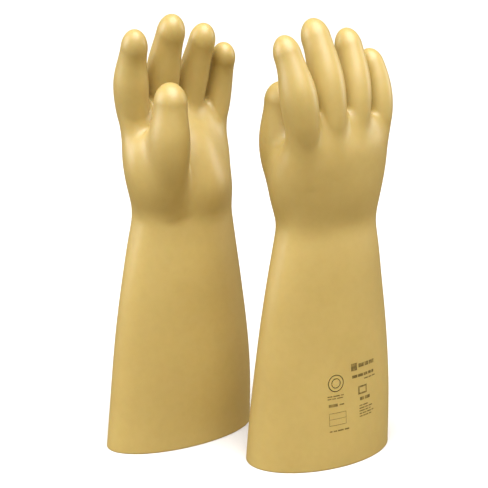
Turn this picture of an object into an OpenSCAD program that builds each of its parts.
// A pair of dip-moulded electrical insulating gloves, standing on their open cuffs.
// One glove is modelled about its own axis, with its little finger towards +X and its palm
// towards -Y. The right glove is that shape mirrored in Y. Each glove is one rubber skin, cut
// at the creases where it flexes: the wrist, the thumb, and the base and middle of each finger.

/* [Glove] */
// Height of the middle fingertip above the cuff rim
glove_len = 410; // [390:1:430]
// Thickness of the rubber
wall = 3.2; // [2.6:0.1:3.6]

/* [Gauntlet] */
// Width of the open cuff
cuff_w = 155; // [145:1:165]
// Depth of the open cuff
cuff_d = 81; // [75:1:88]
// Width of the wrist
wrist_w = 103; // [98:1:110]
// Depth of the wrist
wrist_d = 69; // [64:1:74]
// Height of the wrist crease above the rim
wrist_z = 225; // [215:1:232]

/* [Hand] */
// Width across the knuckles
palm_w = 115; // [110:1:120]
// Depth through the knuckles
palm_d = 49; // [46:1:54]
// How far the knuckles sit behind the wrist
palm_back = 14; // [12:1:16]

/* [Flexing] */
// How far the wrist bends towards the palm
wrist_flex = 20; // [10:1:20]
// How far the wrist bends backwards
wrist_arch = 30; // [10:1:30]
// How far a finger bends at its base
base_flex = 30; // [15:1:30]
// How far a finger bends at its middle
middle_flex = 45; // [20:1:45]
// How far a finger bends backwards at either crease
finger_arch = 10; // [5:1:10]
// How far the thumb swings out from the palm
thumb_out = 35; // [15:1:35]
// How far the thumb closes on the palm
thumb_in = 8; // [4:1:8]

/* [Pair] */
// Sideways distance between the two gloves
pair_dx = 86; // [80:1:100]
// Front to back distance between the two gloves
pair_dy = 110; // [108:1:130]

/* [Hidden] */
latex = [0.85, 0.74, 0.47];

// Slack at each crease, and the extra angle that keeps bent pieces apart
crease_gap = 0.5;
crease_slack = 1;
// A finger is a little narrower across than it is deep
across = 0.92;
deep = 1.12;
body_sides = 32;
finger_sides = 18;
// Steps in each finger's chain of balls
steps = 7;
far = 300;

// The skin's outline from cuff to knuckles: height, half width, half depth, centre x, centre y
function ease(t) = t * t * (3 - 2 * t);
function mix(a, b, t) = a + (b - a) * t;
function flare(z) = ease(pow(z / wrist_z, 1.6));
function gauntlet_station(z) = [
    z,
    mix(cuff_w, wrist_w, flare(z)) / 2,
    mix(cuff_d, wrist_d, flare(z)) / 2,
    5 * z / wrist_z,
    0
];
gauntlet = [for (i = [0:9]) gauntlet_station(i * wrist_z / 9)];
knuckle_z = 300;
hand = [
    gauntlet[9],
    [243, 51.5, 33, 5.5, 3],
    [262, 53, 31, 6, 7],
    [281, 55.5, 28, 6, 10.5],
    [knuckle_z, palm_w / 2, palm_d / 2, 6, palm_back],
    [312, palm_w / 2 - 3, palm_d / 2 - 5, 6, palm_back + 2],
    [321, palm_w / 2 - 9, palm_d / 2 - 13, 6, palm_back + 3]
];

// Each digit's balls from root to tip: x, y, height, radius.
// The first number is the height of its base crease, the second that of its middle crease.
tip_z = glove_len - 12;
digits = [
    ["index", 345, 374, [[-34, 15, 300, 16.5], [-37, 17, 328, 15.3], [-39.5, 11.5, 358, 15.2], [-41.5, 0, 384.5, 12]]],
    ["middle", 350, 383, [[-7.5, 19, 300, 15.5], [-6, 16, 334, 15], [-6, 7, 367, 15.6], [-6.5, -5.5, tip_z, 12]]],
    ["ring", 343, 373, [[22, 16.5, 300, 14.5], [25, 13.5, 330, 13.6], [27.5, 8, 358, 14.4], [29, -3, 385.5, 11.5]]],
    ["little", 333, 357, [[47, 9, 296, 14], [53, 11, 320, 12.8], [54.5, 7.5, 344, 12.6], [54, 0, 367.5, 10]]]
];
thumb = ["thumb", 310, 0, [[-18, -13, 238, 20], [-24.5, -25, 268, 19], [-25.7, -30, 302, 18.5], [-24, -31, 336.5, 14.5]]];

// A smooth run through four balls, for t from 0 to 1
function through(p, t) = let (a = 3 * t)
    p[0] * (1 - a) * (2 - a) * (3 - a) / 6 + p[1] * a * (2 - a) * (3 - a) / 2
    + p[2] * a * (a - 1) * (3 - a) / 2 + p[3] * a * (a - 1) * (a - 2) / 6;
// The point of a digit's run at a height, by halving
function at_height(p, z, lo = 0, hi = 1, n = 20) = let (t = (lo + hi) / 2)
    n == 0 ? through(p, t)
    : through(p, t)[2] < z ? at_height(p, z, t, hi, n - 1) : at_height(p, z, lo, t, n - 1);
// How far a digit leans towards the palm at a height, in degrees from upright
function lean(p, z) = let (a = at_height(p, z - 4), b = at_height(p, z + 4))
    atan2(a[1] - b[1], b[2] - a[2]);

module station(s, inset) {
    translate([s[3], s[4], s[0]])
        scale([s[1] - inset, s[2] - inset, 1])
            cylinder(h = 0.01, r = 1, $fn = body_sides);
}

module run_of_stations(list, inset) {
    for (i = [0:len(list) - 2])
        hull() {
            station(list[i], inset);
            station(list[i + 1], inset);
        }
}

module run_of_balls(p, inset) {
    for (i = [0:steps - 1])
        hull()
            for (k = [i, i + 1]) {
                ball = through(p, k / steps);
                translate([ball[0], ball[1], ball[2]])
                    scale([across * ball[3] - inset, deep * ball[3] - inset, ball[3] - inset])
                        sphere(r = 1, $fn = finger_sides);
            }
}

// One side of a crease that runs along X: the space above it, or below it when up is -1.
// The two half planes leave room for the bend towards the palm and for the bend backwards.
module side_of_crease(y, z, tilt, flex, arch, up) {
    palm_half = flex / 2 + crease_slack;
    back_half = arch / 2 + crease_slack;
    translate([0, y, z])
        rotate([tilt, 0, 0])
            translate([-far, 0, up * crease_gap / 2])
                rotate([90, 0, 90])
                    linear_extrude(2 * far)
                        polygon([
                            [0, 0],
                            [-far * cos(palm_half), up * far * sin(palm_half)],
                            [-far, up * far],
                            [far, up * far],
                            [far * cos(back_half), up * far * sin(back_half)]
                        ]);
}

module digit_crease(digit, z, flex, arch, up) {
    c = at_height(digit[3], z);
    side_of_crease(c[1], z, lean(digit[3], z), flex, arch, up);
}

// The hand's outer skin, each digit cut off at its base crease
module hand_outside() {
    run_of_stations(hand, 0);
    for (digit = digits)
        intersection() {
            run_of_balls(digit[3], 0);
            digit_crease(digit, digit[1], base_flex, finger_arch, -1);
        }
    intersection() {
        run_of_balls(thumb[3], 0);
        digit_crease(thumb, thumb[1], thumb_out, thumb_in, -1);
    }
}

// The hollow inside the hand and all the digits
module hand_hollow() {
    run_of_stations(hand, wall);
    for (digit = concat(digits, [thumb]))
        run_of_balls(digit[3], wall);
}

module wrist_side(up) {
    side_of_crease(0, wrist_z, 0, wrist_flex, wrist_arch, up);
}

module gauntlet_shell() {
    below = gauntlet[0] - [1, 0, 0, 0, 0];
    above = gauntlet[9] + [1, 0, 0, 0, 0];
    color(latex)
        intersection() {
            difference() {
                run_of_stations(gauntlet, 0);
                run_of_stations(concat([below], gauntlet, [above]), wall);
            }
            wrist_side(-1);
        }
}

module hand_shell() {
    color(latex)
        intersection() {
            difference() {
                hand_outside();
                hand_hollow();
            }
            wrist_side(1);
        }
}

module digit_shell(digit) {
    difference() {
        run_of_balls(digit[3], 0);
        run_of_balls(digit[3], wall);
    }
}

module thumb_shell() {
    color(latex)
        intersection() {
            digit_shell(thumb);
            digit_crease(thumb, thumb[1], thumb_out, thumb_in, 1);
        }
}

module finger_base(digit) {
    color(latex)
        intersection() {
            digit_shell(digit);
            digit_crease(digit, digit[1], base_flex, finger_arch, 1);
            digit_crease(digit, digit[2], middle_flex, finger_arch, -1);
        }
}

module finger_tip(digit) {
    color(latex)
        intersection() {
            digit_shell(digit);
            digit_crease(digit, digit[2], middle_flex, finger_arch, 1);
        }
}

// Stands a left-hand shape in its place in the pair, mirrored if it is for the right hand
module in_place(side) {
    right = side == "right";
    translate([right ? pair_dx / 2 : -pair_dx / 2, right ? -pair_dy / 2 : pair_dy / 2, 0])
        mirror([0, right ? 1 : 0, 0])
            children();
}

module piece(name) {
    if (name == "gauntlet") gauntlet_shell();
    if (name == "hand") hand_shell();
    if (name == "thumb") thumb_shell();
    for (digit = digits) {
        if (name == str(digit[0], "_base")) finger_base(digit);
        if (name == str(digit[0], "_tip")) finger_tip(digit);
    }
}

SIDES = ["left", "right"];
PIECES = concat(["gauntlet", "hand", "thumb"], [for (d = digits) for (end = ["_base", "_tip"]) str(d[0], end)]);
for (s = SIDES)
    for (p = PIECES)
        in_place(s) piece(p);
